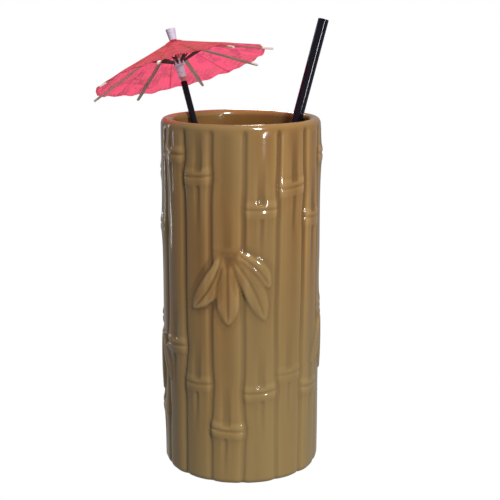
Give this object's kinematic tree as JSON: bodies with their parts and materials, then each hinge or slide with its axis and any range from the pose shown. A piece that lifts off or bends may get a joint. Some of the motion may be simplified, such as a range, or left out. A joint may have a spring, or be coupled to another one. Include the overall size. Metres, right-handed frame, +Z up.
{
  "type": "tiki mug",
  "caption": "Tall glazed ceramic mug shaped as a bundle of bamboo canes, with a drinking straw and a folding paper umbrella on a pick standing in a sip straw.",
  "frame": {"origin": "centre of the foot, on the surface the mug stands on", "axes": "+Z up along the mug's axis; -Y is the front, with the long leaf sprig; +X is to the right seen from the front"},
  "size_m": [0.1119, 0.1048, 0.2091],
  "materials": {
    "glaze": "gloss",
    "straw_plastic": "gloss",
    "pick_wood": "matte",
    "rolled_paper": "matte",
    "hub_wood": "matte",
    "thread": "matte",
    "rib_wood": "matte",
    "strut_card": "matte",
    "canopy_paper": "matte"
  },
  "bodies": {
    "mug": {"mug_body": "glaze"},
    "straw": {"drinking_straw": "straw_plastic"},
    "sip": {"sip_straw": "straw_plastic"},
    "stick": {"pick": "pick_wood", "finial": "rolled_paper"},
    "head": {"crown": "hub_wood", "crown_thread": "thread", "canopy_centre": "canopy_paper"},
    "slider": {"runner": "rolled_paper", "sleeve": "rolled_paper"},
    "rib_1": {"rib_1": "rib_wood"},
    "strut_1": {"strut_1": "strut_card"},
    "paper_left_1": {"paper_left_1": "canopy_paper"},
    "paper_right_1": {"paper_right_1": "canopy_paper"},
    "rib_2": {"rib_2": "rib_wood"},
    "strut_2": {"strut_2": "strut_card"},
    "paper_left_2": {"paper_left_2": "canopy_paper"},
    "paper_right_2": {"paper_right_2": "canopy_paper"},
    "rib_3": {"rib_3": "rib_wood"},
    "strut_3": {"strut_3": "strut_card"},
    "paper_left_3": {"paper_left_3": "canopy_paper"},
    "paper_right_3": {"paper_right_3": "canopy_paper"},
    "rib_4": {"rib_4": "rib_wood"},
    "strut_4": {"strut_4": "strut_card"},
    "paper_left_4": {"paper_left_4": "canopy_paper"},
    "paper_right_4": {"paper_right_4": "canopy_paper"},
    "rib_5": {"rib_5": "rib_wood"},
    "strut_5": {"strut_5": "strut_card"},
    "paper_left_5": {"paper_left_5": "canopy_paper"},
    "paper_right_5": {"paper_right_5": "canopy_paper"},
    "rib_6": {"rib_6": "rib_wood"},
    "strut_6": {"strut_6": "strut_card"},
    "paper_left_6": {"paper_left_6": "canopy_paper"},
    "paper_right_6": {"paper_right_6": "canopy_paper"},
    "rib_7": {"rib_7": "rib_wood"},
    "strut_7": {"strut_7": "strut_card"},
    "paper_left_7": {"paper_left_7": "canopy_paper"},
    "paper_right_7": {"paper_right_7": "canopy_paper"},
    "rib_8": {"rib_8": "rib_wood"},
    "strut_8": {"strut_8": "strut_card"},
    "paper_left_8": {"paper_left_8": "canopy_paper"},
    "paper_right_8": {"paper_right_8": "canopy_paper"}
  },
  "joints": [
    {"name": "straw_lift", "type": "slide", "parent": "mug", "child": "straw", "axis": [0.2527, 0.0772, 0.9645], "range_m": [0, 0.17]},
    {"name": "sip_lift", "type": "slide", "parent": "mug", "child": "sip", "axis": [-0.2504, 0.2208, 0.9426], "range_m": [0, 0.17]},
    {"name": "pick_pull", "type": "slide", "parent": "sip", "child": "stick", "axis": [-0.2504, 0.2208, 0.9426], "range_m": [0, 0.08]},
    {"name": "canopy_turn", "type": "hinge", "parent": "stick", "child": "head", "pos_m": [-0.03176, 0.02594, 0.19722], "axis": [-0.2504, 0.2208, 0.9426], "continuous": true},
    {"name": "runner_slide", "type": "slide", "parent": "head", "child": "slider", "axis": [0.2504, -0.2208, -0.9426], "range_m": [0, 0.00988], "deforming": ["paper_left_1", "paper_right_1", "paper_left_2", "paper_right_2", "paper_left_3", "paper_right_3", "paper_left_4", "paper_right_4", "paper_left_5", "paper_right_5", "paper_left_6", "paper_right_6", "paper_left_7", "paper_right_7", "paper_left_8", "paper_right_8"]},
    {"name": "rib_fold_1", "type": "hinge", "parent": "head", "child": "rib_1", "pos_m": [-0.03385, 0.02622, 0.1966], "axis": [-0.1811, -0.9671, 0.1784], "range_deg": [0, 25.01]},
    {"name": "strut_fold_1", "type": "hinge", "parent": "rib_1", "child": "strut_1", "pos_m": [-0.04477, 0.02678, 0.18851], "axis": [-0.1811, -0.9671, 0.1784], "range_deg": [-50.02, 0]},
    {"name": "paper_left_fold_1", "type": "hinge", "parent": "rib_1", "child": "paper_left_1", "pos_m": [-0.04831, 0.02707, 0.1865], "axis": [-0.8031, 0.0408, -0.5944], "range_deg": [0, 31.55]},
    {"name": "paper_right_fold_1", "type": "hinge", "parent": "rib_1", "child": "paper_right_1", "pos_m": [-0.04831, 0.02707, 0.1865], "axis": [0.8031, -0.0408, 0.5944], "range_deg": [0, 31.55]},
    {"name": "rib_fold_2", "type": "hinge", "parent": "head", "child": "rib_2", "pos_m": [-0.03352, 0.02464, 0.19706], "axis": [0.5444, -0.773, 0.3256], "range_deg": [0, 25.01]},
    {"name": "strut_fold_2", "type": "hinge", "parent": "rib_2", "child": "strut_2", "pos_m": [-0.04252, 0.01601, 0.19163], "axis": [0.5444, -0.773, 0.3256], "range_deg": [-50.02, 0]},
    {"name": "paper_left_fold_2", "type": "hinge", "parent": "rib_2", "child": "paper_left_2", "pos_m": [-0.04547, 0.01344, 0.19044], "axis": [-0.6622, -0.6344, -0.3989], "range_deg": [0, 31.55]},
    {"name": "paper_right_fold_2", "type": "hinge", "parent": "rib_2", "child": "paper_right_2", "pos_m": [-0.04547, 0.01344, 0.19044], "axis": [0.6622, 0.6344, 0.3989], "range_deg": [0, 31.55]},
    {"name": "rib_fold_3", "type": "hinge", "parent": "head", "child": "rib_3", "pos_m": [-0.03216, 0.02382, 0.19761], "axis": [0.951, -0.1261, 0.2822], "range_deg": [0, 25.01]},
    {"name": "strut_fold_3", "type": "hinge", "parent": "rib_3", "child": "strut_3", "pos_m": [-0.03327, 0.01045, 0.19539], "axis": [0.951, -0.1261, 0.2822], "range_deg": [-50.02, 0]},
    {"name": "paper_left_fold_3", "type": "hinge", "parent": "rib_3", "child": "paper_left_3", "pos_m": [-0.03375, 0.0064, 0.1952], "axis": [-0.082, -0.9832, -0.163], "range_deg": [0, 31.55]},
    {"name": "paper_right_fold_3", "type": "hinge", "parent": "rib_3", "child": "paper_right_3", "pos_m": [-0.03375, 0.0064, 0.1952], "axis": [0.082, 0.9832, 0.163], "range_deg": [0, 31.55]},
    {"name": "rib_fold_4", "type": "hinge", "parent": "head", "child": "rib_4", "pos_m": [-0.03056, 0.02424, 0.19793], "axis": [0.8006, 0.5947, 0.0734], "range_deg": [0, 25.01]},
    {"name": "strut_fold_4", "type": "hinge", "parent": "rib_4", "child": "strut_4", "pos_m": [-0.02243, 0.01335, 0.19759], "axis": [0.8006, 0.5947, 0.0734], "range_deg": [-50.02, 0]},
    {"name": "paper_left_fold_4", "type": "hinge", "parent": "rib_4", "child": "paper_left_4", "pos_m": [-0.02003, 0.01007, 0.19799], "axis": [0.5976, -0.8014, -0.0251], "range_deg": [0, 31.55]},
    {"name": "paper_right_fold_4", "type": "hinge", "parent": "rib_4", "child": "paper_right_4", "pos_m": [-0.02003, 0.01007, 0.19799], "axis": [-0.5976, 0.8014, 0.0251], "range_deg": [0, 31.55]},
    {"name": "rib_fold_5", "type": "hinge", "parent": "head", "child": "rib_5", "pos_m": [-0.02967, 0.02567, 0.19784], "axis": [0.1811, 0.9671, -0.1784], "range_deg": [0, 25.01]},
    {"name": "strut_fold_5", "type": "hinge", "parent": "rib_5", "child": "strut_5", "pos_m": [-0.01636, 0.02301, 0.19694], "axis": [0.1811, 0.9671, -0.1784], "range_deg": [-50.02, 0]},
    {"name": "paper_left_fold_5", "type": "hinge", "parent": "rib_5", "child": "paper_left_5", "pos_m": [-0.01234, 0.0223, 0.19717], "axis": [0.9785, -0.1954, -0.0658], "range_deg": [0, 31.55]},
    {"name": "paper_right_fold_5", "type": "hinge", "parent": "rib_5", "child": "paper_right_5", "pos_m": [-0.01234, 0.0223, 0.19717], "axis": [-0.9785, 0.1954, 0.0658], "range_deg": [0, 31.55]},
    {"name": "rib_fold_6", "type": "hinge", "parent": "head", "child": "rib_6", "pos_m": [-0.03, 0.02725, 0.19738], "axis": [-0.5444, 0.773, -0.3256], "range_deg": [0, 25.01]},
    {"name": "strut_fold_6", "type": "hinge", "parent": "rib_6", "child": "strut_6", "pos_m": [-0.01861, 0.03378, 0.19382], "axis": [-0.5444, 0.773, -0.3256], "range_deg": [-50.02, 0]},
    {"name": "paper_left_fold_6", "type": "hinge", "parent": "rib_6", "child": "paper_left_6", "pos_m": [-0.01519, 0.03593, 0.19322], "axis": [0.8376, 0.4797, -0.2614], "range_deg": [0, 31.55]},
    {"name": "paper_right_fold_6", "type": "hinge", "parent": "rib_6", "child": "paper_right_6", "pos_m": [-0.01519, 0.03593, 0.19322], "axis": [-0.8376, -0.4797, 0.2614], "range_deg": [0, 31.55]},
    {"name": "rib_fold_7", "type": "hinge", "parent": "head", "child": "rib_7", "pos_m": [-0.03136, 0.02807, 0.19682], "axis": [-0.951, 0.1261, -0.2822], "range_deg": [0, 25.01]},
    {"name": "strut_fold_7", "type": "hinge", "parent": "rib_7", "child": "strut_7", "pos_m": [-0.02786, 0.03934, 0.19006], "axis": [-0.951, 0.1261, -0.2822], "range_deg": [-50.02, 0]},
    {"name": "paper_left_fold_7", "type": "hinge", "parent": "rib_7", "child": "paper_left_7", "pos_m": [-0.0269, 0.04297, 0.18846], "axis": [0.2574, 0.8286, -0.4972], "range_deg": [0, 31.55]},
    {"name": "paper_right_fold_7", "type": "hinge", "parent": "rib_7", "child": "paper_right_7", "pos_m": [-0.0269, 0.04297, 0.18846], "axis": [-0.2574, -0.8286, 0.4972], "range_deg": [0, 31.55]},
    {"name": "rib_fold_8", "type": "hinge", "parent": "head", "child": "rib_8", "pos_m": [-0.03296, 0.02765, 0.1965], "axis": [-0.8006, -0.5947, -0.0734], "range_deg": [0, 25.01]},
    {"name": "strut_fold_8", "type": "hinge", "parent": "rib_8", "child": "strut_8", "pos_m": [-0.0387, 0.03644, 0.18786], "axis": [-0.8006, -0.5947, -0.0734], "range_deg": [-50.02, 0]},
    {"name": "paper_left_fold_8", "type": "hinge", "parent": "rib_8", "child": "paper_left_8", "pos_m": [-0.04062, 0.0393, 0.18567], "axis": [-0.4222, 0.6468, -0.6351], "range_deg": [0, 31.55]},
    {"name": "paper_right_fold_8", "type": "hinge", "parent": "rib_8", "child": "paper_right_8", "pos_m": [-0.04062, 0.0393, 0.18567], "axis": [0.4222, -0.6468, 0.6351], "range_deg": [0, 31.55]}
  ],
  "couplings": [
    {"joint": "rib_fold_1", "follows": "runner_slide", "rad_per_m": 44.187},
    {"joint": "strut_fold_1", "follows": "runner_slide", "rad_per_m": -88.373},
    {"joint": "paper_left_fold_1", "follows": "runner_slide", "rad_per_m": 55.731},
    {"joint": "paper_right_fold_1", "follows": "runner_slide", "rad_per_m": 55.731},
    {"joint": "rib_fold_2", "follows": "runner_slide", "rad_per_m": 44.187},
    {"joint": "strut_fold_2", "follows": "runner_slide", "rad_per_m": -88.373},
    {"joint": "paper_left_fold_2", "follows": "runner_slide", "rad_per_m": 55.731},
    {"joint": "paper_right_fold_2", "follows": "runner_slide", "rad_per_m": 55.731},
    {"joint": "rib_fold_3", "follows": "runner_slide", "rad_per_m": 44.187},
    {"joint": "strut_fold_3", "follows": "runner_slide", "rad_per_m": -88.373},
    {"joint": "paper_left_fold_3", "follows": "runner_slide", "rad_per_m": 55.731},
    {"joint": "paper_right_fold_3", "follows": "runner_slide", "rad_per_m": 55.731},
    {"joint": "rib_fold_4", "follows": "runner_slide", "rad_per_m": 44.187},
    {"joint": "strut_fold_4", "follows": "runner_slide", "rad_per_m": -88.373},
    {"joint": "paper_left_fold_4", "follows": "runner_slide", "rad_per_m": 55.731},
    {"joint": "paper_right_fold_4", "follows": "runner_slide", "rad_per_m": 55.731},
    {"joint": "rib_fold_5", "follows": "runner_slide", "rad_per_m": 44.187},
    {"joint": "strut_fold_5", "follows": "runner_slide", "rad_per_m": -88.373},
    {"joint": "paper_left_fold_5", "follows": "runner_slide", "rad_per_m": 55.731},
    {"joint": "paper_right_fold_5", "follows": "runner_slide", "rad_per_m": 55.731},
    {"joint": "rib_fold_6", "follows": "runner_slide", "rad_per_m": 44.187},
    {"joint": "strut_fold_6", "follows": "runner_slide", "rad_per_m": -88.373},
    {"joint": "paper_left_fold_6", "follows": "runner_slide", "rad_per_m": 55.731},
    {"joint": "paper_right_fold_6", "follows": "runner_slide", "rad_per_m": 55.731},
    {"joint": "rib_fold_7", "follows": "runner_slide", "rad_per_m": 44.187},
    {"joint": "strut_fold_7", "follows": "runner_slide", "rad_per_m": -88.373},
    {"joint": "paper_left_fold_7", "follows": "runner_slide", "rad_per_m": 55.731},
    {"joint": "paper_right_fold_7", "follows": "runner_slide", "rad_per_m": 55.731},
    {"joint": "rib_fold_8", "follows": "runner_slide", "rad_per_m": 44.187},
    {"joint": "strut_fold_8", "follows": "runner_slide", "rad_per_m": -88.373},
    {"joint": "paper_left_fold_8", "follows": "runner_slide", "rad_per_m": 55.731},
    {"joint": "paper_right_fold_8", "follows": "runner_slide", "rad_per_m": 55.731}
  ]
}
